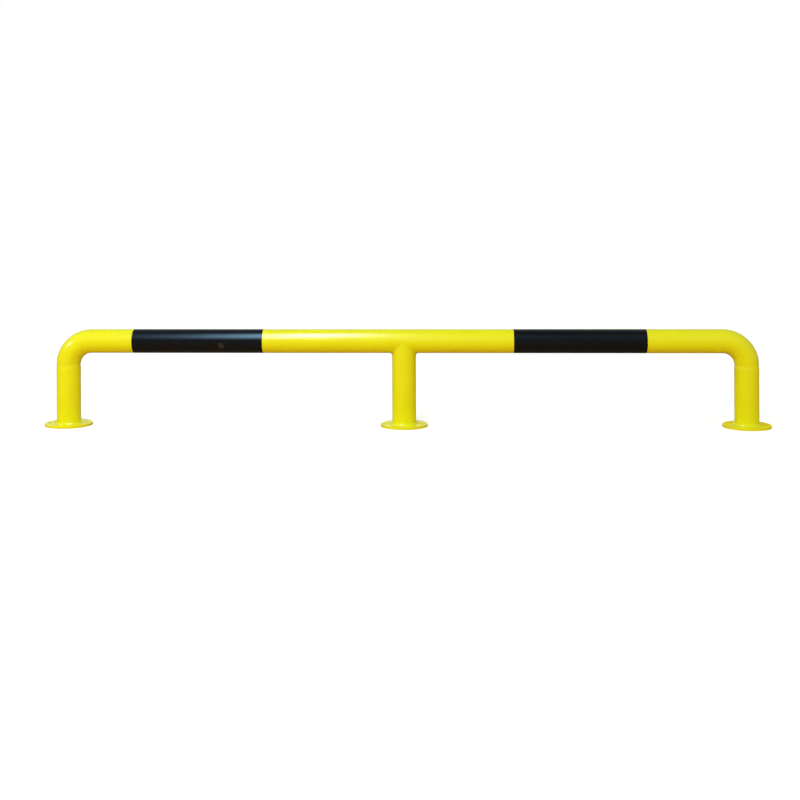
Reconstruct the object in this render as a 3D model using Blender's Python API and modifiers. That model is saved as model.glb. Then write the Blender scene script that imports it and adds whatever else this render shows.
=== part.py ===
# Barrier hoop: a straight steel tube on three legs, with welded elbows, base plates and two black film bands.
# Metres, +Z up. X runs along the rail, the front is towards -Y, and the floor is at z = 0.

from math import cos, pi, sin, sqrt

import bmesh
import bpy
from mathutils import Matrix, Vector

# The hoop as a whole
HOOP_LENGTH = 2.250          # over the outer sides of the two end legs
HOOP_HEIGHT = 0.310          # floor to the top of the rail
MIDDLE_LEG_X = 0.0           # axis of the middle leg, from the centre of the hoop

# Steel tube, the same for rail, elbows and legs
TUBE_DIAMETER = 0.0761
TUBE_WALL = 0.003
BEND_RADIUS = 0.076          # centreline radius of the elbows

# Round base plates
PLATE_DIAMETER = 0.150
PLATE_THICKNESS = 0.008
PLATE_EDGE_ROUND = 0.0015
BOLT_CIRCLE = 0.120
BOLT_HOLE = 0.014
BOLT_COUNT = 4

# Welds
ROOT_GAP = 0.002             # between two butted tube ends, filled by the ring weld
RING_CAP_WIDTH = 0.008
RING_CAP_HEIGHT = 0.0006
FOOT_WELD_LEG = 0.006
FOOT_WELD_BULGE = 0.0008
SADDLE_BEAD_RADIUS = 0.004
SADDLE_BEAD_SINK = 0.0026    # how far the bead's centre lies inside the tubes at front and back
SADDLE_APEX_ROUND = 0.008    # the bead rounds off the point of the fish mouth by this much

# Black film bands, measured from the outer side of the end leg on their own side
FILM_THICKNESS = 0.0004
LEFT_BAND_INSET = 0.253
LEFT_BAND_LENGTH = 0.420
RIGHT_BAND_INSET = 0.355
RIGHT_BAND_LENGTH = 0.420

# Fits and fineness
CLEARANCE = 0.0003           # between pieces that touch on the real hoop
SEGMENTS = 40                # round every tube; a multiple of four
BEND_STEPS = 10
HOLE_SEGMENTS = 20
BEAD_POINTS = 64             # along the saddle weld

# Worked out from the sizes above
TUBE_RADIUS = TUBE_DIAMETER / 2
BORE_RADIUS = TUBE_RADIUS - TUBE_WALL
RAIL_Z = HOOP_HEIGHT - TUBE_RADIUS
END_LEG_X = HOOP_LENGTH / 2 - TUBE_RADIUS
BEND_CENTRE_X = END_LEG_X - BEND_RADIUS
BEND_CENTRE_Z = RAIL_Z - BEND_RADIUS
LEG_FOOT_Z = PLATE_THICKNESS + CLEARANCE

SIDES = {"left": -1, "right": 1}
LEG_PLACES = {"left": -END_LEG_X, "middle": MIDDLE_LEG_X, "right": END_LEG_X}

ALONG_X = Matrix.Rotation(pi / 2, 4, "Y")


def clear_scene():
    for old in list(bpy.data.objects):
        bpy.data.objects.remove(old)


def make_collection(name):
    collection = bpy.data.collections.new(name)
    bpy.context.scene.collection.children.link(collection)
    return collection


def make_material(name, colour, roughness):
    material = bpy.data.materials.new(name)
    material.use_nodes = True
    shader = material.node_tree.nodes["Principled BSDF"]
    shader.inputs["Base Color"].default_value = (*colour, 1)
    shader.inputs["Roughness"].default_value = roughness
    shader.inputs["Metallic"].default_value = 0.0
    return material


def add_object(name, mesh, matrix, collection, material=None):
    obj = bpy.data.objects.new(name, mesh)
    obj.matrix_world = matrix
    collection.objects.link(obj)
    if material:
        mesh.materials.append(material)
    else:
        obj.hide_render = True
        obj.display_type = "WIRE"
    return obj


def shade_round(mesh):
    mesh.shade_smooth()
    mesh.set_sharp_from_angle(angle=pi / 6)


def turned(name, profile, matrix, collection, material):
    """A ring-shaped piece: a closed (radius, height) profile swept once round its local Z axis.

    The profile runs down its outer side first, so that the faces point outwards.
    """
    mesh = bpy.data.meshes.new(name)
    count = len(profile)
    points = [(radius, 0, height) for radius, height in profile]
    mesh.from_pydata(points, [(i, (i + 1) % count) for i in range(count)], [])
    obj = add_object(name, mesh, matrix, collection, material)
    screw = obj.modifiers.new("Turn", "SCREW")
    screw.axis = "Z"
    screw.angle = 2 * pi
    screw.steps = screw.render_steps = SEGMENTS
    screw.use_merge_vertices = True
    screw.merge_threshold = 0.00001
    screw.use_smooth_shade = False
    return obj


def tube_profile(outer, inner, bottom, top):
    return [(outer, top), (outer, bottom), (inner, bottom), (inner, top)]


def solid_cylinder(name, radius, bottom, top, matrix, collection, material=None, segments=SEGMENTS):
    form = bmesh.new()
    bmesh.ops.create_cone(form, cap_ends=True, segments=segments, radius1=radius, radius2=radius,
                          depth=top - bottom)
    bmesh.ops.translate(form, verts=form.verts, vec=(0, 0, (top + bottom) / 2))
    mesh = bpy.data.meshes.new(name)
    form.to_mesh(mesh)
    form.free()
    return add_object(name, mesh, matrix, collection, material)


def cut(obj, cutter):
    boolean = obj.modifiers.new("Cut " + cutter.name, "BOOLEAN")
    boolean.operation = "DIFFERENCE"
    boolean.solver = "EXACT"
    boolean.object = cutter


def rail_clearance_cutter(cutters):
    """The rail's outside plus the clearance, for whatever is fitted to it from below."""
    reach = TUBE_DIAMETER
    place = Matrix.Translation((MIDDLE_LEG_X, 0, RAIL_Z)) @ ALONG_X
    return solid_cylinder("cut_rail", TUBE_RADIUS + CLEARANCE, -reach, reach, place, cutters)


def leg_clearance_cutter(cutters):
    """The middle leg's outside plus the clearance, up to the axis of the rail."""
    place = Matrix.Translation((MIDDLE_LEG_X, 0, 0))
    return solid_cylinder("cut_leg", TUBE_RADIUS + CLEARANCE, 0, RAIL_Z, place, cutters)


def make_rail(parts, yellow):
    half = BEND_CENTRE_X - ROOT_GAP
    place = Matrix.Translation((0, 0, RAIL_Z)) @ ALONG_X
    turned("top_rail", tube_profile(TUBE_RADIUS, BORE_RADIUS, -half, half), place, parts, yellow)


def elbow_mesh():
    """A quarter bend: the tube's ring section, spun about Y from the rail's end to the leg's."""
    form = bmesh.new()
    facing_x = Matrix.Translation((0, 0, BEND_RADIUS)) @ ALONG_X
    rings = []
    for radius in (TUBE_RADIUS, BORE_RADIUS):
        ring = bmesh.ops.create_circle(form, segments=SEGMENTS, radius=radius, matrix=facing_x)
        rings += list({edge for vert in ring["verts"] for edge in vert.link_edges})
    section = bmesh.ops.bridge_loops(form, edges=rings)["faces"]
    geometry = section + rings + list(form.verts)
    bmesh.ops.spin(form, geom=geometry, cent=(0, 0, 0), axis=(0, 1, 0), angle=pi / 2, steps=BEND_STEPS)
    bmesh.ops.remove_doubles(form, verts=form.verts, dist=0.00001)
    bmesh.ops.recalc_face_normals(form, faces=form.faces)
    mesh = bpy.data.meshes.new("elbow")
    form.to_mesh(mesh)
    form.free()
    shade_round(mesh)
    return mesh


def make_elbows(parts, yellow):
    mesh = elbow_mesh()
    mesh.materials.append(yellow)
    for side, sign in SIDES.items():
        turn = Matrix.Rotation(0 if sign > 0 else pi, 4, "Z")
        place = Matrix.Translation((sign * BEND_CENTRE_X, 0, BEND_CENTRE_Z)) @ turn
        obj = bpy.data.objects.new("elbow_" + side, mesh)
        obj.matrix_world = place
        parts.objects.link(obj)


def make_end_legs(parts, yellow):
    profile = tube_profile(TUBE_RADIUS, BORE_RADIUS, LEG_FOOT_Z, BEND_CENTRE_Z - ROOT_GAP)
    for side, sign in SIDES.items():
        turned("leg_" + side, profile, Matrix.Translation((sign * END_LEG_X, 0, 0)), parts, yellow)


def make_middle_leg(parts, yellow, rail_cutter):
    """The leg is cut longer than its reach, then coped by the rail's outside: the fish mouth."""
    profile = tube_profile(TUBE_RADIUS, BORE_RADIUS, LEG_FOOT_Z, RAIL_Z)
    leg = turned("leg_middle", profile, Matrix.Translation((MIDDLE_LEG_X, 0, 0)), parts, yellow)
    cut(leg, rail_cutter)


def capped_weld_profile():
    """T section: a root between the two tube ends, and a low rounded cap over the seam."""
    root = ROOT_GAP / 2 - CLEARANCE
    seat = TUBE_RADIUS + CLEARANCE
    half = RING_CAP_WIDTH / 2
    angles = [pi * i / 4 for i in range(5)]
    cap = [(seat + RING_CAP_HEIGHT * sin(angle), half * cos(angle)) for angle in angles]
    return cap + [(seat, -root), (BORE_RADIUS, -root), (BORE_RADIUS, root), (seat, root)]


def make_ring_welds(parts, yellow):
    """The seams in the rail are dressed flush with the tube, and those on the legs keep their caps."""
    root = ROOT_GAP / 2 - CLEARANCE
    flush = tube_profile(TUBE_RADIUS, BORE_RADIUS, -root, root)
    capped = capped_weld_profile()
    for side, sign in SIDES.items():
        at_rail = Matrix.Translation((sign * (BEND_CENTRE_X - ROOT_GAP / 2), 0, RAIL_Z)) @ ALONG_X
        at_leg = Matrix.Translation((sign * END_LEG_X, 0, BEND_CENTRE_Z - ROOT_GAP / 2))
        turned("weld_rail_elbow_" + side, flush, at_rail, parts, yellow)
        turned("weld_leg_elbow_" + side, capped, at_leg, parts, yellow)


def make_foot_welds(parts, yellow):
    """Slightly convex fillet in the corner between each leg and its plate."""
    inner = TUBE_RADIUS + CLEARANCE
    bottom = PLATE_THICKNESS + CLEARANCE
    face = []
    for i in range(4):
        down = i / 3
        bulge = FOOT_WELD_BULGE * sin(pi * down)
        face.append((inner + FOOT_WELD_LEG * down + bulge, bottom + FOOT_WELD_LEG * (1 - down) + bulge))
    for name, x in LEG_PLACES.items():
        turned("weld_foot_" + name, face + [(inner, bottom)], Matrix.Translation((x, 0, 0)), parts, yellow)


def saddle_path():
    """Points along the seam between leg and rail, with the two sharp points of the V rounded off."""
    points = []
    for i in range(BEAD_POINTS):
        angle = 2 * pi * i / BEAD_POINTS
        across = TUBE_RADIUS * cos(angle)
        points.append(Vector((MIDDLE_LEG_X + across, (TUBE_RADIUS - SADDLE_BEAD_SINK) * sin(angle),
                              RAIL_Z - sqrt(across ** 2 + SADDLE_APEX_ROUND ** 2))))
    return points


def swept_bar(name, points, radius, collection, material):
    """A closed round bar along the points, as a mesh that can be cut."""
    curve = bpy.data.curves.new(name + "_route", "CURVE")
    curve.dimensions = "3D"
    curve.bevel_depth = radius
    curve.bevel_resolution = 3
    spline = curve.splines.new("POLY")
    spline.points.add(len(points) - 1)
    for target, point in zip(spline.points, points):
        target.co = (*point, 1)
    spline.use_cyclic_u = True
    route = bpy.data.objects.new(name + "_route", curve)
    collection.objects.link(route)
    bpy.context.view_layer.update()
    mesh = bpy.data.meshes.new_from_object(route.evaluated_get(bpy.context.evaluated_depsgraph_get()))
    place = route.matrix_world.copy()
    bpy.data.objects.remove(route)
    form = bmesh.new()
    form.from_mesh(mesh)
    bmesh.ops.remove_doubles(form, verts=form.verts, dist=0.00001)
    bmesh.ops.recalc_face_normals(form, faces=form.faces)
    form.to_mesh(mesh)
    form.free()
    mesh.materials.clear()
    return add_object(name, mesh, place, collection, material)


def make_saddle_weld(parts, yellow, rail_cutter, leg_cutter):
    bead = swept_bar("weld_saddle_middle", saddle_path(), SADDLE_BEAD_RADIUS, parts, yellow)
    cut(bead, leg_cutter)
    cut(bead, rail_cutter)


def make_base_plates(parts, cutters, yellow):
    for name, x in LEG_PLACES.items():
        place = Matrix.Translation((x, 0, 0))
        plate = solid_cylinder("base_plate_" + name, PLATE_DIAMETER / 2, 0, PLATE_THICKNESS, place, parts, yellow)
        edge = plate.modifiers.new("Edge", "BEVEL")
        edge.width = PLATE_EDGE_ROUND
        edge.segments = 2
        edge.limit_method = "ANGLE"
        for i in range(BOLT_COUNT):
            angle = 2 * pi * i / BOLT_COUNT
            offset = Matrix.Translation((BOLT_CIRCLE / 2 * cos(angle), BOLT_CIRCLE / 2 * sin(angle), 0))
            hole = solid_cylinder("cut_hole_%s_%d" % (name, i + 1), BOLT_HOLE / 2, -PLATE_THICKNESS,
                                  2 * PLATE_THICKNESS, place @ offset, cutters, segments=HOLE_SEGMENTS)
            cut(plate, hole)


def make_bands(parts, black):
    """Film wrapped once round the rail; each band is set out from the end of the hoop on its side."""
    inner = TUBE_RADIUS + CLEARANCE
    outer = inner + FILM_THICKNESS
    left_start = -HOOP_LENGTH / 2 + LEFT_BAND_INSET
    right_end = HOOP_LENGTH / 2 - RIGHT_BAND_INSET
    spans = {"left": (left_start, left_start + LEFT_BAND_LENGTH),
             "right": (right_end - RIGHT_BAND_LENGTH, right_end)}
    for side, (start, end) in spans.items():
        middle = (start + end) / 2
        half = (end - start) / 2
        place = Matrix.Translation((middle, 0, RAIL_Z)) @ ALONG_X
        turned("black_band_" + side, tube_profile(outer, inner, -half, half), place, parts, black)


def settle(obj):
    """Applies the turning and cutting, then shades the round faces smooth and keeps the corners sharp."""
    mesh = bpy.data.meshes.new_from_object(obj.evaluated_get(bpy.context.evaluated_depsgraph_get()))
    mesh.name = obj.name
    obj.modifiers.clear()
    obj.data = mesh
    shade_round(mesh)


def main():
    clear_scene()
    parts = make_collection("barrier_hoop")
    cutters = make_collection("cutters")
    yellow = make_material("yellow gloss powder coat on steel", (0.807, 0.730, 0.006), 0.22)
    black = make_material("black gloss vinyl film", (0.010, 0.010, 0.010), 0.16)
    rail_cutter = rail_clearance_cutter(cutters)
    leg_cutter = leg_clearance_cutter(cutters)
    make_rail(parts, yellow)
    make_elbows(parts, yellow)
    make_end_legs(parts, yellow)
    make_middle_leg(parts, yellow, rail_cutter)
    make_base_plates(parts, cutters, yellow)
    make_ring_welds(parts, yellow)
    make_foot_welds(parts, yellow)
    make_saddle_weld(parts, yellow, rail_cutter, leg_cutter)
    make_bands(parts, black)
    for obj in parts.objects:
        if obj.modifiers:
            settle(obj)


main()
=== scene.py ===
from math import atan2, cos, pi, radians, sin, sqrt

import bpy
from mathutils import Matrix, Vector


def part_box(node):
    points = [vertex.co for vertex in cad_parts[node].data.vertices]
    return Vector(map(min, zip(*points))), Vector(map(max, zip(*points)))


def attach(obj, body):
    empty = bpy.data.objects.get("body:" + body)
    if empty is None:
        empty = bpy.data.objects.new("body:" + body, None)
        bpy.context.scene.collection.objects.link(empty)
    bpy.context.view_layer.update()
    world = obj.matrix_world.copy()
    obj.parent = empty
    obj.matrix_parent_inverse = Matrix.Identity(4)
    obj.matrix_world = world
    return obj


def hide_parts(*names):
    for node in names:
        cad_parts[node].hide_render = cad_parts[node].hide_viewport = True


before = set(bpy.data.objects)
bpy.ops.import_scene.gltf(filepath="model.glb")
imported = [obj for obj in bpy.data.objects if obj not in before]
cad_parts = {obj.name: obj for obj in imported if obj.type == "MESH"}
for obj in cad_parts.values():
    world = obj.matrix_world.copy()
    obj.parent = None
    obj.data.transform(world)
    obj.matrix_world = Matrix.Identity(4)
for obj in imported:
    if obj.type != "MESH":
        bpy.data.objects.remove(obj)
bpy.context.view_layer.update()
print("frame loaded:", len(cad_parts), "nodes")

# Places and sizes that the frame gives

def middleX(low, high):
    return (low.x + high.x) / 2


railLow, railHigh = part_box("top_rail")
tubeRadius = (railHigh.y - railLow.y) / 2
railZ = (railHigh.z + railLow.z) / 2
plateLow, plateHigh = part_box("base_plate_middle")
plateTop = plateHigh.z
plateRadius = (plateHigh.y - plateLow.y) / 2
bendX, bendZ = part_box("elbow_right")[0].x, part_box("elbow_right")[0].z      # centre of the right bend
legX = {side: middleX(*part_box("leg_" + side)) for side in ("left", "middle", "right")}
ends = ("left", "right")


# Working helpers

sliver = 0.00002        # edges shorter than this are closed up after the cuts
seamGap = 0.00001       # points nearer than this become one where a shape closes on itself


def deselectAll():
    bpy.ops.object.select_all(action="DESELECT")


def workOn(obj):
    deselectAll()
    obj.select_set(True)
    bpy.context.view_layer.objects.active = obj


def editAll(obj):
    workOn(obj)
    bpy.ops.object.mode_set(mode="EDIT")
    bpy.ops.mesh.select_all(action="SELECT")


def leaveEdit():
    bpy.ops.object.mode_set(mode="OBJECT")


def applyModifier(obj, kind, **settings):
    workOn(obj)
    modifier = obj.modifiers.new(kind.lower(), kind)
    for key, value in settings.items():
        setattr(modifier, key, value)
    bpy.ops.object.modifier_apply(modifier=modifier.name)


def cutAway(obj, cutter):
    applyModifier(obj, "BOOLEAN", operation="DIFFERENCE", solver="EXACT", object=cutter)
    bpy.data.objects.remove(cutter)


def closeSlivers(obj):
    editAll(obj)
    bpy.ops.mesh.quads_convert_to_tris(quad_method="BEAUTY", ngon_method="BEAUTY")
    bpy.ops.mesh.remove_doubles(threshold=sliver)
    bpy.ops.mesh.select_all(action="SELECT")
    bpy.ops.mesh.dissolve_degenerate(threshold=sliver)
    leaveEdit()


def closeShape(obj):
    editAll(obj)
    bpy.ops.mesh.remove_doubles(threshold=seamGap)
    bpy.ops.mesh.normals_make_consistent(inside=False)
    leaveEdit()


def placeIntoMesh(obj):
    workOn(obj)
    bpy.ops.object.transform_apply(location=True, rotation=True, scale=True)


def copyPiece(obj, move=(0, 0, 0), mirrored=False):
    workOn(obj)
    bpy.ops.object.duplicate(linked=False)
    twin = bpy.context.object
    if mirrored:
        twin.data.transform(Matrix.Scale(-1, 4, (1, 0, 0)))
        editAll(twin)
        bpy.ops.mesh.flip_normals()
        leaveEdit()
    bpy.ops.transform.translate(value=move)
    placeIntoMesh(twin)
    return twin


def finishPiece(obj, name, material, slot, *nodes, smoothAngle=35):
    obj.name = obj.data.name = name
    workOn(obj)
    bpy.ops.object.shade_smooth_by_angle(angle=radians(smoothAngle))
    obj.data.materials.clear()
    obj.data.materials.append(material)
    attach(obj, "root")
    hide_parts(*nodes)


def finishAtEachLeg(middle, name, node, **settings):
    # What repeats at each leg is modelled at the middle one and copied to both ends.
    for side in ends:
        twin = copyPiece(middle, move=(legX[side] - legX["middle"], 0, 0))
        finishPiece(twin, name + side, yellowCoat, "yellow_coat", node + side, **settings)
    finishPiece(middle, name + "middle", yellowCoat, "yellow_coat", node + "middle", **settings)


# Materials

def linearColour(hexText):
    channels = [int(hexText[i:i + 2], 16) / 255 for i in (1, 3, 5)]
    return [c / 12.92 if c <= 0.04045 else ((c + 0.055) / 1.055) ** 2.4 for c in channels] + [1.0]


def addNode(tree, kind, settings=None, values=None, links=None):
    node = tree.nodes.new(kind)
    for key, value in (settings or {}).items():
        setattr(node, key, value)
    for key, value in (values or {}).items():
        node.inputs[key].default_value = value
    for key, source in (links or {}).items():
        tree.links.new(source, node.inputs[key])
    return node


def addRamp(tree, factor, stops):
    ramp = addNode(tree, "ShaderNodeValToRGB", links={"Fac": factor})
    elements = ramp.color_ramp.elements
    while len(elements) < len(stops):
        elements.new(0.5)        # moved to its own place below
    for element, (position, colour) in zip(elements, stops):
        element.position = position
        element.color = colour
    return ramp.outputs["Color"]


def newMaterial(name):
    material = bpy.data.materials.new(name)
    material.use_nodes = True
    tree = material.node_tree
    return material, tree, tree.nodes["Principled BSDF"]


def perMetre(millimetres):
    return 1000 / millimetres        # texture scale whose features repeat about every so many millimetres


def addGlossAndRelief(tree, shader, place, look, reliefMm, reliefDepth):
    # Slightly uneven gloss, and a faint relief that bends the reflections.
    haze = addNode(tree, "ShaderNodeTexNoise", values={"Scale": perMetre(look["roughMm"]), "Detail": 4.0},
                   links={"Vector": place})
    rough = addNode(tree, "ShaderNodeMapRange",
                    values={"To Min": look["roughLow"], "To Max": look["roughHigh"]},
                    links={"Value": haze.outputs["Fac"]})
    relief = addNode(tree, "ShaderNodeTexNoise", values={"Scale": perMetre(reliefMm), "Detail": 1.0},
                     links={"Vector": place})
    bump = addNode(tree, "ShaderNodeBump", values={"Strength": 1.0, "Distance": reliefDepth},
                   links={"Height": relief.outputs["Fac"]})
    shader.inputs["IOR"].default_value = look["ior"]
    tree.links.new(rough.outputs["Result"], shader.inputs["Roughness"])
    tree.links.new(bump.outputs["Normal"], shader.inputs["Normal"])


powderCoatLook = {
    "thick": "#EFEC02", "thin": "#E9E302",      # zinc yellow, a shade deeper where the powder lies thinner
    "cloudMm": 70,
    "roughLow": 0.17, "roughHigh": 0.20, "roughMm": 25,
    "peelMm": 6, "peelDepth": 0.00002,          # real peel is 2 to 3 mm across; drawn wider so that it shows
    "ior": 1.58,
}
# The elbows are forged fittings, whose rougher skin shows through the coat
elbowCoatLook = {**powderCoatLook, "peelMm": 10, "peelDepth": 0.00009}


def powderCoat(name, look):
    # Polyester powder, sprayed on and baked: a thick glossy skin that flows over the welds, with faint
    # orange peel.
    material, tree, shader = newMaterial(name)
    place = addNode(tree, "ShaderNodeTexCoord").outputs["Object"]
    cloud = addNode(tree, "ShaderNodeTexNoise", values={"Scale": perMetre(look["cloudMm"]), "Detail": 3.0},
                    links={"Vector": place})
    colour = addNode(tree, "ShaderNodeMix", {"data_type": "RGBA"},
                     {6: linearColour(look["thin"]), 7: linearColour(look["thick"])},
                     {0: cloud.outputs["Fac"]})
    tree.links.new(colour.outputs[2], shader.inputs["Base Color"])
    addGlossAndRelief(tree, shader, place, look, look["peelMm"], look["peelDepth"])
    return material


filmLook = {
    "fresh": "#070707", "rubbed": "#0B0A0A",
    "rubMm": 40,
    "roughLow": 0.17, "roughHigh": 0.20, "roughMm": 30,
    "waveMm": 22, "waveDepth": 0.00002,          # the film follows the orange peel under it, softened
    "mark": "#3D352A", "markPlace": (-0.583, -0.0362, 0.2595), "markSize": 0.013,      # one small scuff
    "ior": 1.54,
}


def vinylFilm(look):
    # Cast PVC film with a gloss face, laid on by hand: near black, mirror-like, very slightly wavy.
    material, tree, shader = newMaterial("black gloss PVC film")
    place = addNode(tree, "ShaderNodeTexCoord").outputs["Object"]
    rub = addNode(tree, "ShaderNodeTexNoise", values={"Scale": perMetre(look["rubMm"]), "Detail": 5.0},
                  links={"Vector": place})
    colour = addNode(tree, "ShaderNodeMix", {"data_type": "RGBA"},
                     {6: linearColour(look["fresh"]), 7: linearColour(look["rubbed"])},
                     {0: rub.outputs["Fac"]})
    size = look["markSize"]
    aim = addNode(tree, "ShaderNodeMapping",
                  values={"Location": [-c / size for c in look["markPlace"]], "Scale": [1 / size] * 3},
                  links={"Vector": place})
    spot = addNode(tree, "ShaderNodeTexGradient", {"gradient_type": "SPHERICAL"},
                   links={"Vector": aim.outputs[0]})
    marked = addNode(tree, "ShaderNodeMix", {"data_type": "RGBA"}, {7: linearColour(look["mark"])},
                     {0: spot.outputs["Fac"], 6: colour.outputs[2]})
    tree.links.new(marked.outputs[2], shader.inputs["Base Color"])
    addGlossAndRelief(tree, shader, place, look, look["waveMm"], look["waveDepth"])
    return material


yellowCoat = powderCoat("yellow polyester powder coat", powderCoatLook)
elbowCoat = powderCoat("yellow polyester powder coat on forged steel", elbowCoatLook)
blackFilm = vinylFilm(filmLook)
print("materials ready")


# Tubes

tubing = {
    "sides": 128,
    "wall": 0.003,
    "smoothAngle": 20,       # narrow, so that a cut end doesn't tilt the shading along the whole tube
}

seam = {
    "drawnIn": 0.0012, "upElbow": 0.016,          # both tubes draw in towards the seam between elbow and leg
    "shoulder": 0.0002, "shoulderAt": 0.011,      # and just below it the leg is a little fuller
    "downLeg": 0.038,
    "legRings": 14, "ringSpread": 1.5,            # the rings cut into the leg for this lie closer near the seam
}


def seamDrift(along):
    # How far the surface stands off the plain tube, at a distance down the leg from the seam.
    if along < -seam["upElbow"] or along > seam["downLeg"]:
        return 0
    if along < 0:
        return -seam["drawnIn"] * cos(along / seam["upElbow"] * pi / 2) ** 2
    if along < seam["shoulderAt"]:
        step = seam["drawnIn"] + seam["shoulder"]
        return step * sin(along / seam["shoulderAt"] * pi / 2) ** 2 - seam["drawnIn"]
    past = (along - seam["shoulderAt"]) / (seam["downLeg"] - seam["shoulderAt"])
    return seam["shoulder"] * cos(past * pi / 2) ** 2


def roundRod(start, end, radius, sides, endFill="NGON"):
    along = Vector(end) - Vector(start)
    deselectAll()
    bpy.ops.mesh.primitive_cylinder_add(vertices=sides, radius=radius, depth=along.length,
                                        end_fill_type=endFill, location=(Vector(start) + Vector(end)) / 2,
                                        rotation=along.to_track_quat("Z", "Y").to_euler())
    rod = bpy.context.object
    placeIntoMesh(rod)
    return rod


def openTube(start, end):
    tube = roundRod(start, end, tubeRadius, tubing["sides"], endFill="NOTHING")
    applyModifier(tube, "SOLIDIFY", thickness=tubing["wall"], offset=-1)
    return tube


def makeRail():
    rail = openTube((railLow.x, 0, railZ), (railHigh.x, 0, railZ))
    finishPiece(rail, "rail_tube", yellowCoat, "yellow_coat", "top_rail", smoothAngle=tubing["smoothAngle"])


def shapeLegTop(leg, x, top):
    for i in range(1, seam["legRings"] + 1):
        down = seam["downLeg"] * (i / seam["legRings"]) ** seam["ringSpread"]
        editAll(leg)
        bpy.ops.mesh.bisect(plane_co=(x, 0, top - down), plane_no=(0, 0, 1))
        leaveEdit()
    for vertex in leg.data.vertices:
        grow = 1 + seamDrift(top - vertex.co.z) / tubeRadius
        vertex.co.x = x + (vertex.co.x - x) * grow
        vertex.co.y *= grow


def makeEndLegs():
    low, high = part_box("leg_right")
    right = openTube((legX["right"], 0, low.z), (legX["right"], 0, high.z))
    shapeLegTop(right, legX["right"], bendZ)
    left = copyPiece(right, move=(legX["left"] - legX["right"], 0, 0))
    for side, leg in (("right", right), ("left", left)):
        finishPiece(leg, "end_leg_" + side, yellowCoat, "yellow_coat", "leg_" + side,
                    smoothAngle=tubing["smoothAngle"])


def makeMiddleLeg():
    x = legX["middle"]
    leg = openTube((x, 0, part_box("leg_middle")[0].z), (x, 0, railZ))
    reach = 2 * tubeRadius
    # The fish mouth that fits the rail
    cutAway(leg, roundRod((x - reach, 0, railZ), (x + reach, 0, railZ), tubeRadius, tubing["sides"]))
    closeSlivers(leg)
    finishPiece(leg, "middle_leg_coped", yellowCoat, "yellow_coat", "leg_middle",
                smoothAngle=tubing["smoothAngle"])


makeRail()
makeEndLegs()
makeMiddleLeg()
print("tubes made")


# Elbows

elbow = {
    "steps": 40,
}


def makeElbows():
    deselectAll()
    bpy.ops.mesh.primitive_circle_add(vertices=tubing["sides"], radius=tubeRadius, location=(bendX, 0, railZ),
                                      rotation=(0, pi / 2, 0))
    right = bpy.context.object
    placeIntoMesh(right)
    editAll(right)
    bpy.ops.mesh.spin(steps=elbow["steps"], angle=-pi / 2, center=(bendX, 0, bendZ), axis=(0, 1, 0))
    leaveEdit()
    closeShape(right)
    applyModifier(right, "SOLIDIFY", thickness=tubing["wall"], offset=-1)
    bend = legX["right"] - bendX
    for vertex in right.data.vertices:
        turn = atan2(vertex.co.z - bendZ, vertex.co.x - bendX)        # 0 where the leg begins
        middle = Vector((bendX + bend * cos(turn), 0, bendZ + bend * sin(turn)))
        vertex.co = middle + (vertex.co - middle) * (1 + seamDrift(-turn * bend) / tubeRadius)
    left = copyPiece(right, mirrored=True)
    for side, bent in (("right", right), ("left", left)):
        finishPiece(bent, "bend_" + side, elbowCoat, "yellow_coat", "elbow_" + side)


makeElbows()
print("elbows made")


# Base plates

plate = {
    "sides": 192,
    "edgeRound": 0.0015, "roundSteps": 3, "roundFrom": radians(50),      # edges that turn by more are rounded
    "holes": 4, "holeRing": 0.060, "holeRadius": 0.007, "holeSides": 48,
}


def makePlates():
    x = legX["middle"]
    middle = roundRod((x, 0, plateLow.z), (x, 0, plateTop), plateRadius, plate["sides"])
    for i in range(plate["holes"]):
        angle = 2 * pi * i / plate["holes"]
        holeX, holeY = x + plate["holeRing"] * cos(angle), plate["holeRing"] * sin(angle)
        drill = roundRod((holeX, holeY, plateLow.z - plateTop), (holeX, holeY, 2 * plateTop),
                         plate["holeRadius"], plate["holeSides"])
        cutAway(middle, drill)
    applyModifier(middle, "BEVEL", width=plate["edgeRound"], segments=plate["roundSteps"],
                  limit_method="ANGLE", angle_limit=plate["roundFrom"])
    finishAtEachLeg(middle, "foot_plate_", "base_plate_")


makePlates()
print("base plates made")


# Welds

weldAngle = 60        # degrees; a bead is shaded smooth up to this, so only its cut edges stay crisp


def weldRing(weld, ringRadius, barRadius):
    deselectAll()
    bpy.ops.mesh.primitive_torus_add(major_segments=weld["steps"], minor_segments=weld["sectionSides"],
                                     major_radius=ringRadius, minor_radius=barRadius)
    return bpy.context.object


def rippleHollow(weld, turn, across):
    # Each ripple is a shallow crescent across the bead, as the molten pool leaves it.
    phase = turn / (2 * pi) * weld["ripples"] + weld["crescent"] * across ** 2
    return weld["rippleDepth"] * (1 - abs(sin(pi * phase)))


def rippleBead(bead, centreLine, weld, swell=0):
    # A bead with a swell is fuller at the front and the back, where the two tubes meet almost flush.
    for vertex in bead.data.vertices:
        turn = atan2(vertex.co.y, vertex.co.x)
        middle = centreLine(turn)
        outward = vertex.co - middle
        across = outward.z / outward.length
        vertex.co = middle + outward * (1 - rippleHollow(weld, turn, across)) * (1 + swell * sin(turn) ** 2)


ringWeld = {
    "halfWidth": 0.0040, "feather": 1.8,      # the leg's cap is ground out this much longer on its lower side
    "legCap": 0.0003, "railCap": 0.0002,      # how far the caps stand out; the rail's are ground almost flush
    "steps": 256, "sectionSides": 32,         # the torus tool makes no more than 256 steps round
    "ripples": 66,
    "rippleDepth": 0.04, "crescent": 0.4,
    "root": 0.0008,                  # how deep the cap reaches into the tube wall
}


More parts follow.
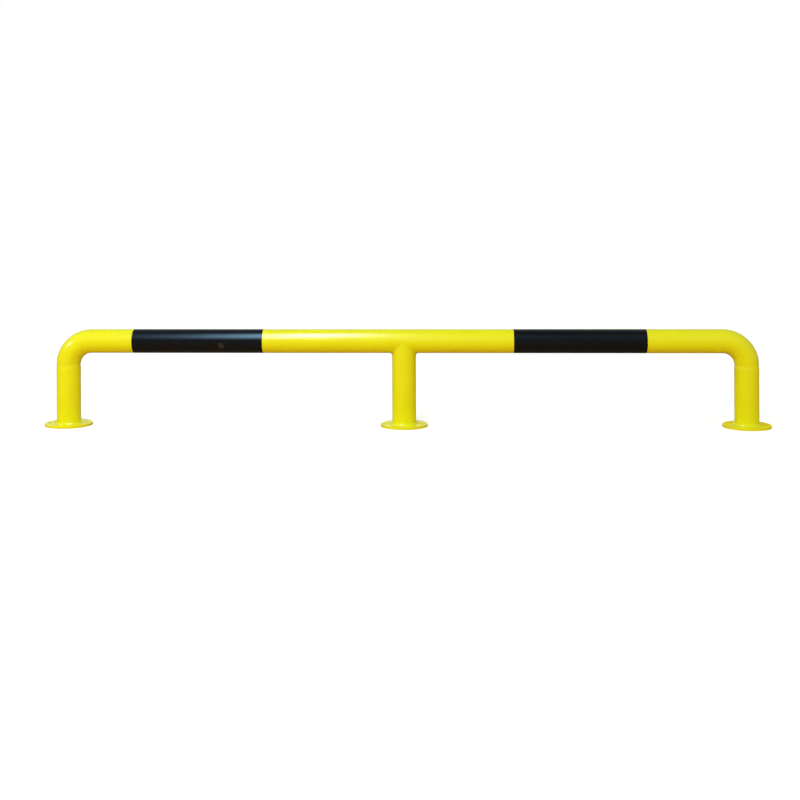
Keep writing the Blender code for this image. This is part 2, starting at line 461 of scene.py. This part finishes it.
def makeSeamCap(height, feather, drift):
    # A torus reshaped: its outer half becomes a bell-shaped cap that runs out flush on both sides.
    half = ringWeld["halfWidth"]
    cap = weldRing(ringWeld, tubeRadius, half)
    for vertex in cap.data.vertices:
        turn = atan2(vertex.co.y, vertex.co.x)
        across = min(1, abs(vertex.co.z) / half)
        along = vertex.co.z * (feather if vertex.co.z < 0 else 1)
        surface = tubeRadius + drift(-along)
        radius = surface - ringWeld["root"] * (1 - across)
        if vertex.co.xy.length > tubeRadius:
            bell = cos(across * pi / 2) ** 2
            radius = surface + height * (1 - rippleHollow(ringWeld, turn, across)) * bell
        vertex.co = (radius * cos(turn), radius * sin(turn), along)
    return cap


def makeRingWelds():
    for side in ends:
        cap = makeSeamCap(ringWeld["legCap"], ringWeld["feather"], seamDrift)
        cap.location = (legX[side], 0, bendZ)
        placeIntoMesh(cap)
        finishPiece(cap, "leg_seam_" + side, yellowCoat, "yellow_coat", "weld_leg_elbow_" + side,
                    smoothAngle=weldAngle)

        dressed = makeSeamCap(ringWeld["railCap"], 1, lambda along: 0)
        dressed.rotation_euler = (0, pi / 2, 0)
        dressed.location = (middleX(*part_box("weld_rail_elbow_" + side)), 0, railZ)
        placeIntoMesh(dressed)
        finishPiece(dressed, "rail_seam_" + side, yellowCoat, "yellow_coat", "weld_rail_elbow_" + side,
                    smoothAngle=weldAngle)


footWeld = {
    "radius": 0.0085, "sink": 0.00225,        # a round bar sunk into both surfaces leaves a 6 mm fillet
    "steps": 256, "sectionSides": 28,
    "ripples": 76,                            # so few steps for each leave the ripples slightly uneven
    "rippleDepth": 0.018, "crescent": 0.8,
    "overlap": 0.0003,               # how deep it still reaches into the leg and the plate
}


def makeFootWelds():
    ringRadius = tubeRadius - footWeld["sink"]
    x = legX["middle"]
    middle = weldRing(footWeld, ringRadius, footWeld["radius"])
    rippleBead(middle, lambda turn: Vector((ringRadius * cos(turn), ringRadius * sin(turn), 0)), footWeld)
    middle.location = (x, 0, plateTop - footWeld["sink"])
    placeIntoMesh(middle)
    overlap = footWeld["overlap"]
    cutAway(middle, roundRod((x, 0, -plateTop), (x, 0, 3 * plateTop), tubeRadius - overlap, tubing["sides"]))
    cutAway(middle, roundRod((x, 0, -plateTop), (x, 0, plateTop - overlap), plateRadius, tubing["sides"]))
    closeSlivers(middle)
    finishAtEachLeg(middle, "foot_fillet_", "weld_foot_", smoothAngle=weldAngle)


saddleWeld = {
    "radius": 0.0038, "swell": 0.40, "sink": 0.0050,
    "apexRound": 0.008,                # how softly the point of the V turns over
    "points": 192, "sectionSteps": 4,
    "ripples": 80, "rippleDepth": 0.025, "crescent": 0.5,
    "overlap": 0.0003,
}


def saddleLine(turn):
    across = tubeRadius * cos(turn)
    return Vector((across, (tubeRadius - saddleWeld["sink"]) * sin(turn),
                   -sqrt(across ** 2 + saddleWeld["apexRound"] ** 2)))


def makeSaddleWeld():
    x = legX["middle"]
    count = saddleWeld["points"]
    route = bpy.data.curves.new("saddle", "CURVE")
    route.dimensions = "3D"
    route.bevel_depth = saddleWeld["radius"]
    route.bevel_resolution = saddleWeld["sectionSteps"]
    spline = route.splines.new("POLY")
    spline.points.add(count - 1)
    spline.use_cyclic_u = True
    for i, point in enumerate(spline.points):
        point.co = (*saddleLine(2 * pi * i / count), 1)
    bead = bpy.data.objects.new("saddle", route)
    bpy.context.scene.collection.objects.link(bead)
    workOn(bead)
    bpy.ops.object.convert(target="MESH")
    bead = bpy.context.object
    closeShape(bead)
    rippleBead(bead, saddleLine, saddleWeld, saddleWeld["swell"])
    bead.location = (x, 0, railZ)
    placeIntoMesh(bead)
    trimmed = tubeRadius - saddleWeld["overlap"]
    reach = 2 * tubeRadius
    cutAway(bead, roundRod((x, 0, railZ - 2 * reach), (x, 0, railZ), trimmed, tubing["sides"]))
    cutAway(bead, roundRod((x - reach, 0, railZ), (x + reach, 0, railZ), trimmed, tubing["sides"]))
    closeSlivers(bead)
    finishPiece(bead, "saddle_fillet", yellowCoat, "yellow_coat", "weld_saddle_middle", smoothAngle=weldAngle)


makeRingWelds()
makeFootWelds()
makeSaddleWeld()
print("welds made")


# Film bands

band = {
    "sides": 192,
    "thickness": 0.0002,
    "lift": 0.00005,        # faces in the same place would flicker, so the film stands this far off the tube
    "lapFrom": radians(128), "lapTo": radians(148),      # its end laps over its start, low at the back
}


def makeBands():
    for side in ends:
        low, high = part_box("black_band_" + side)
        middle = (middleX(low, high), 0, railZ)
        skin = tubeRadius + band["lift"]
        deselectAll()
        bpy.ops.mesh.primitive_cylinder_add(vertices=band["sides"], radius=skin, depth=high.x - low.x,
                                            end_fill_type="NOTHING", location=middle, rotation=(0, pi / 2, 0))
        film = bpy.context.object
        placeIntoMesh(film)
        editAll(film)
        bpy.ops.mesh.select_mode(type="FACE")        # or the selection below would spread over shared points
        bpy.ops.mesh.select_all(action="DESELECT")
        leaveEdit()
        for polygon in film.data.polygons:
            # 0 at the front, growing downwards
            fromFront = atan2(-(polygon.center.z - railZ), -polygon.center.y)
            polygon.select = band["lapFrom"] < fromFront < band["lapTo"]
        workOn(film)
        bpy.ops.object.mode_set(mode="EDIT")
        bpy.ops.mesh.duplicate()
        grow = (skin + band["thickness"] + band["lift"]) / skin        # the lap clears the film under it too
        bpy.ops.transform.resize(value=(1, grow, grow), center_override=middle)
        leaveEdit()
        applyModifier(film, "SOLIDIFY", thickness=band["thickness"], offset=1)
        finishPiece(film, "film_band_" + side, blackFilm, "black_film", "black_band_" + side)


makeBands()
print("film bands made")


# Camera, floor and light

cameraView = {
    "place": (0.1309, -3.748, 0.6624),
    "turn": 0.03788, "roll": 0.00353,     # radians; the camera looks level, turned a little to the left
    "focalPixels": 1170.0, "framePixels": 800, "horizonRow": 219.25,
    "sensor": 36,
}


def addCamera(view):
    bpy.ops.object.camera_add(location=view["place"], rotation=(pi / 2, view["roll"], view["turn"]))
    camera = bpy.context.object
    camera.data.sensor_width = view["sensor"]
    camera.data.lens = view["focalPixels"] / view["framePixels"] * view["sensor"]
    camera.data.shift_y = view["horizonRow"] / view["framePixels"] - 0.5
    bpy.context.scene.camera = camera


floorLook = {
    "size": 80,
    # The camera sees a pale floor that a glow lifts to white, less near the hoop, where its shadow falls
    "paleness": 0.90, "glow": "#FFFFFF",
    "liftNear": 0.378, "liftFar": 0.475, "liftFrom": 1.3, "liftTo": 6.5,      # strengths, then metres
    "bounce": "#DBA57B",                      # warm light thrown back up under the rail
    # What the gloss mirrors, in front of the hoop and under it
    "glossFar": "#6C6F74", "glossNear": "#73634E", "farY": -1.0, "nearY": -0.25,
}


def addFloor(look):
    deselectAll()
    bpy.ops.mesh.primitive_plane_add(size=look["size"], location=(0, 0, 0))
    floor = bpy.context.object
    floor.name = "studio_floor"
    material, tree, shader = newMaterial("white studio floor")
    tree.nodes.remove(shader)
    ray = addNode(tree, "ShaderNodeLightPath").outputs
    place = addNode(tree, "ShaderNodeTexCoord").outputs["Object"]
    across = addNode(tree, "ShaderNodeSeparateXYZ", links={"Vector": place}).outputs["Y"]
    near = addNode(tree, "ShaderNodeMapRange", values={"From Min": look["farY"], "From Max": look["nearY"]},
                   links={"Value": across})
    mirrored = addNode(tree, "ShaderNodeMix", {"data_type": "RGBA"},
                       {6: linearColour(look["glossFar"]), 7: linearColour(look["glossNear"])},
                       {0: near.outputs["Result"]})
    glossy = addNode(tree, "ShaderNodeMix", {"data_type": "RGBA"}, {6: linearColour(look["bounce"])},
                     {0: ray["Is Glossy Ray"], 7: mirrored.outputs[2]})
    seen = addNode(tree, "ShaderNodeMix", {"data_type": "RGBA"}, {7: [look["paleness"]] * 3 + [1]},
                   {0: ray["Is Camera Ray"], 6: glossy.outputs[2]})
    matt = addNode(tree, "ShaderNodeBsdfDiffuse", links={"Color": seen.outputs[2]})
    reach = addNode(tree, "ShaderNodeVectorMath", {"operation": "LENGTH"}, links={0: place}).outputs["Value"]
    graded = addNode(tree, "ShaderNodeMapRange",
                     values={"From Min": look["liftFrom"], "From Max": look["liftTo"],
                             "To Min": look["liftNear"], "To Max": look["liftFar"]}, links={"Value": reach})
    lift = addNode(tree, "ShaderNodeMath", {"operation": "MULTIPLY"},
                   links={0: graded.outputs["Result"], 1: ray["Is Camera Ray"]})
    glow = addNode(tree, "ShaderNodeEmission", values={"Color": linearColour(look["glow"])},
                   links={"Strength": lift.outputs[0]})
    total = addNode(tree, "ShaderNodeAddShader", links={0: matt.outputs[0], 1: glow.outputs[0]})
    tree.links.new(total.outputs[0], tree.nodes["Material Output"].inputs["Surface"])
    floor.data.materials.append(material)


roomLook = {
    "backdrop": "#FFFFFF", "backdropStrength": 1.0,
    "ambient": ((0.0, "#F9FFFA"), (0.4, "#F9FFFA"), (1.0, "#D3D9D5")), "ambientStrength": 0.74,
    # What the gloss mirrors: a dim room, which keeps the film black, with some sky light high up around it
    "mirrored": ((0.0, "#4E5052"), (0.17, "#5F6674"), (0.34, "#687488"), (0.64, "#7384A6"),
                 (0.80, "#7384A6"), (0.95, "#68727E"), (0.985, "#4A4E52"), (1.0, "#2E3032")),
    # The backdrop as the plates mirror it, towards the back, in a warmer tone on the right
    "sweep": ((0.0, "#F0E5BC"), (0.22, "#EAC228")), "sweepFrom": 0.80, "sweepTo": 0.92,
}


def addRoom(look):
    world = bpy.data.worlds.new("studio")
    world.use_nodes = True
    bpy.context.scene.world = world
    tree = world.node_tree
    ray = addNode(tree, "ShaderNodeLightPath").outputs
    direction = addNode(tree, "ShaderNodeSeparateXYZ",
                        links={"Vector": addNode(tree, "ShaderNodeTexCoord").outputs["Generated"]}).outputs
    byHeight = {key: addRamp(tree, direction["Z"], [(z, linearColour(colour)) for z, colour in look[key]])
                for key in ("ambient", "mirrored")}
    backTone = addRamp(tree, direction["X"], [(x, linearColour(colour)) for x, colour in look["sweep"]])
    ambient = addNode(tree, "ShaderNodeBackground", values={"Strength": look["ambientStrength"]},
                      links={"Color": byHeight["ambient"]})
    sweep = addNode(tree, "ShaderNodeMapRange",
                    values={"From Min": look["sweepFrom"], "From Max": look["sweepTo"]},
                    links={"Value": direction["Y"]})
    dimmed = addNode(tree, "ShaderNodeMix", {"data_type": "RGBA"},
                     links={0: sweep.outputs["Result"], 6: byHeight["mirrored"], 7: backTone})
    mirrored = addNode(tree, "ShaderNodeBackground", links={"Color": dimmed.outputs[2]})
    backdrop = addNode(tree, "ShaderNodeBackground",
                       values={"Color": linearColour(look["backdrop"]), "Strength": look["backdropStrength"]})
    unseen = addNode(tree, "ShaderNodeMixShader",
                     links={0: ray["Is Glossy Ray"], 1: ambient.outputs[0], 2: mirrored.outputs[0]})
    clear = addNode(tree, "ShaderNodeMath", {"operation": "MAXIMUM"},
                    links={0: ray["Is Camera Ray"], 1: ray["Is Transmission Ray"]})
    shown = addNode(tree, "ShaderNodeMixShader",
                    links={0: clear.outputs[0], 1: unseen.outputs[0], 2: backdrop.outputs[0]})
    tree.links.new(shown.outputs[0], tree.nodes["World Output"].inputs["Surface"])


# The window is what makes the bright streak along the rail. It is only mirrored: a lamp as bright as the streak
# needs would wash out the whole rail, so the weaker window glow gives the light in its place.
lamps = {
    "window": {"place": (-0.735, -1.12, 1.87), "aim": (-0.735, 0, 0.27), "size": (1.45, 2.6), "watts": 305,
               "colour": "#A4DAFF", "mirrored": True, "lights": False,
               "across": ((0.0, 0.0), (0.22, 0.065), (0.33, 0.16), (0.435, 0.325), (0.491, 0.305),
                          (0.55, 0.375), (0.60, 0.93), (0.634, 1.0), (0.676, 0.89), (0.707, 0.87),
                          (0.76, 0.84), (0.815, 0.44), (0.87, 0.045), (0.92, 0.0)),
               "rise": ((0.0, 0.12), (0.135, 0.29), (0.285, 0.62), (0.42, 0.96), (0.5, 1.0),
                        (0.687, 0.62), (0.88, 0.2), (1.0, 0.08)),
               "riseRight": ((0.0, 0.0), (0.135, 0.0), (0.285, 0.28), (0.42, 0.85), (0.5, 1.0),
                             (0.687, 0.52), (0.88, 0.12), (1.0, 0.04)),
               "narrowFrom": 0.60, "narrowTo": 0.72, "lean": 0.26},
    "windowGlow": {"place": (-0.65, -1.12, 1.90), "aim": (-0.65, 0, 0.27), "size": (0.90, 0.75), "watts": 8,
                   "colour": "#EAF2FF", "mirrored": False, "lights": True},
    "leftWindow": {"place": (-2.48, -0.76, 1.07), "aim": (-1.08, 0, 0.265), "size": (0.48, 0.23), "watts": 5.5,
                   "colour": "#FFFFFF", "mirrored": True, "lights": True},
    "fill": {"place": (-1.1, -6.5, 3.0), "aim": (0, 0, 0.2), "size": (3.0, 2.0), "watts": 184,
             "colour": "#F7FFF3", "mirrored": False, "lights": True},
}


def gradeLamp(light, lamp):
    # Brightness along both sides of the lamp, as from a window that is partly curtained.
    # The bright stripe across it leans: its height is measured from a line that climbs along the long side.
    # It is narrower at its right end.
    light.use_nodes = True
    tree = light.node_tree
    place = addNode(tree, "ShaderNodeSeparateXYZ",
                    links={"Vector": addNode(tree, "ShaderNodeNewGeometry").outputs["Parametric"]}).outputs
    climb = addNode(tree, "ShaderNodeMath", {"operation": "MULTIPLY_ADD"},
                    {1: -lamp["lean"], 2: lamp["lean"] / 2}, {0: place["X"]})
    height = addNode(tree, "ShaderNodeMath", {"operation": "ADD"},
                     links={0: place["Y"], 1: climb.outputs[0]}).outputs[0]
    across, wide, slim = [addRamp(tree, factor, [(at, (grey, grey, grey, 1)) for at, grey in lamp[stops]])
                          for factor, stops in ((place["X"], "across"), (height, "rise"),
                                                (height, "riseRight"))]
    narrowing = addNode(tree, "ShaderNodeMapRange",
                        values={"From Min": lamp["narrowFrom"], "From Max": lamp["narrowTo"]},
                        links={"Value": place["X"]})
    rise = addNode(tree, "ShaderNodeMix", {"data_type": "RGBA"},
                   links={0: narrowing.outputs["Result"], 6: wide, 7: slim})
    strength = addNode(tree, "ShaderNodeMath", {"operation": "MULTIPLY"}, links={0: across, 1: rise.outputs[2]})
    tree.links.new(strength.outputs[0], tree.nodes["Emission"].inputs["Strength"])


def addLamps():
    for name, lamp in lamps.items():
        aim = Vector(lamp["aim"]) - Vector(lamp["place"])
        bpy.ops.object.light_add(type="AREA", location=lamp["place"],
                                 rotation=aim.to_track_quat("-Z", "Y").to_euler())
        light = bpy.context.object
        light.name = name
        light.data.shape = "RECTANGLE"
        light.data.size, light.data.size_y = lamp["size"]
        light.data.energy = lamp["watts"]
        light.data.color = linearColour(lamp["colour"])[:3]
        light.visible_glossy = lamp["mirrored"]
        light.visible_diffuse = lamp["lights"]
        if "across" in lamp:
            gradeLamp(light.data, lamp)


addCamera(cameraView)
addFloor(floorLook)
addRoom(roomLook)
addLamps()
bpy.context.scene.view_settings.view_transform = "Standard"
print("camera, floor and light ready")
